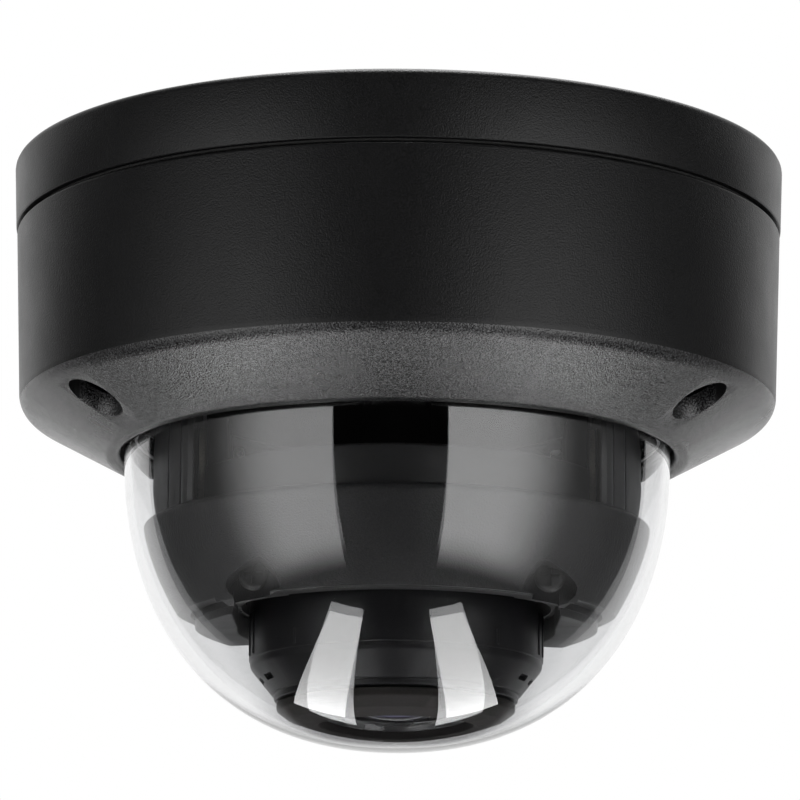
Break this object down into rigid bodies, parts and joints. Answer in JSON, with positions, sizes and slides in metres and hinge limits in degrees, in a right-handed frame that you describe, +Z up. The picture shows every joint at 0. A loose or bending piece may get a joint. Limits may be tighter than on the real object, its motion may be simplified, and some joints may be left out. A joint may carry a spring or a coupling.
{
  "type": "dome cctv camera",
  "caption": "Black vandal-resistant mini dome camera for a ceiling, with a clear dome and a pan, tilt and rotate lens turret inside.",
  "frame": {"origin": "centre of the base's flat face, which lies against the ceiling", "axes": "+Z up out of the ceiling face, the dome hangs towards -Z, -Y is the front between the two front cover screws"},
  "size_m": [0.1214, 0.1214, 0.0922],
  "materials": {
    "housing_black": "satin black fine-textured powder coat",
    "black_plastic": "fine-grained moulded black plastic",
    "black_rubber": "matt black rubber",
    "clear_polycarbonate": "clear polished polycarbonate",
    "steel": "zinc-plated steel",
    "black_steel": "blackened steel",
    "circuit_board": "green solder mask",
    "ivory_plastic": "natural low-friction plastic",
    "lens_glass": "coated optical glass"
  },
  "bodies": {
    "base": {"mounting_base": "housing_black", "side_exit_plug": "black_plastic", "cable_grommet": "black_rubber", "pan_bearing_ring": "ivory_plastic", "pan_retaining_ring": "black_plastic", "pan_ring_screw_left": "steel", "pan_ring_screw_right": "steel", "main_board": "circuit_board", "board_screw_left": "steel", "board_screw_front": "steel", "board_screw_right": "steel", "processor": "black_plastic", "memory_card_slot": "steel", "cable_connector": "ivory_plastic", "reset_switch": "black_plastic", "cover_gasket": "black_rubber"},
    "reset_button": {"reset_button": "ivory_plastic"},
    "cover": {"cover_shell": "housing_black", "dome_bubble": "clear_polycarbonate", "dome_gasket": "black_rubber", "dome_clamp_ring": "black_plastic", "clamp_screw_front": "steel", "clamp_screw_left": "steel", "clamp_screw_right": "steel"},
    "cover_screw_left": {"cover_screw_left": "black_steel"},
    "cover_screw_right": {"cover_screw_right": "black_steel"},
    "cover_screw_back": {"cover_screw_back": "black_steel"},
    "pan": {"pan_chassis": "black_plastic"},
    "tilt": {"tilt_frame": "black_plastic", "tilt_bowl": "black_plastic", "turret_sleeve": "black_plastic", "pivot_pin_left": "steel", "pivot_pin_right": "steel", "friction_washer_left": "ivory_plastic", "friction_washer_right": "ivory_plastic", "bowl_screw_left": "black_steel", "bowl_screw_right": "black_steel"},
    "turret": {"turret_housing": "black_plastic", "lens_shield": "black_rubber", "turret_cap": "black_plastic", "sensor_board": "circuit_board", "image_sensor": "lens_glass", "lens_holder": "black_plastic", "infrared_filter": "lens_glass", "filter_switcher": "black_plastic", "lens_barrel": "black_plastic", "front_lens": "lens_glass", "rear_lens": "lens_glass"}
  },
  "joints": [
    {"name": "cover_lift_off", "type": "slide", "parent": "base", "child": "cover", "axis": [0, 0, -1], "range_m": [0, 0.1]},
    {"name": "pan_turn", "type": "hinge", "parent": "base", "child": "pan", "pos_m": [0, 0, -0.008], "axis": [0, 0, 1], "range_deg": [0, 355]},
    {"name": "lens_tilt", "type": "hinge", "parent": "pan", "child": "tilt", "pos_m": [0, 0, -0.05], "axis": [-1, 0, 0], "range_deg": [0, 75]},
    {"name": "lens_rotate", "type": "hinge", "parent": "tilt", "child": "turret", "pos_m": [0, 0, -0.07], "axis": [0, 0, -1], "range_deg": [0, 355]},
    {"name": "reset_press", "type": "slide", "parent": "base", "child": "reset_button", "axis": [0, 0, 1], "range_m": [0, 0.0005], "stiffness_N_per_m": 400},
    {"name": "cover_screw_left_turn", "type": "hinge", "parent": "cover", "child": "cover_screw_left", "pos_m": [-0.0459, -0.0265, -0.035], "axis": [0, 0, 1], "continuous": true},
    {"name": "cover_screw_right_turn", "type": "hinge", "parent": "cover", "child": "cover_screw_right", "pos_m": [0.0459, -0.0265, -0.035], "axis": [0, 0, 1], "continuous": true},
    {"name": "cover_screw_back_turn", "type": "hinge", "parent": "cover", "child": "cover_screw_back", "pos_m": [0, 0.053, -0.035], "axis": [0, 0, 1], "continuous": true}
  ]
}
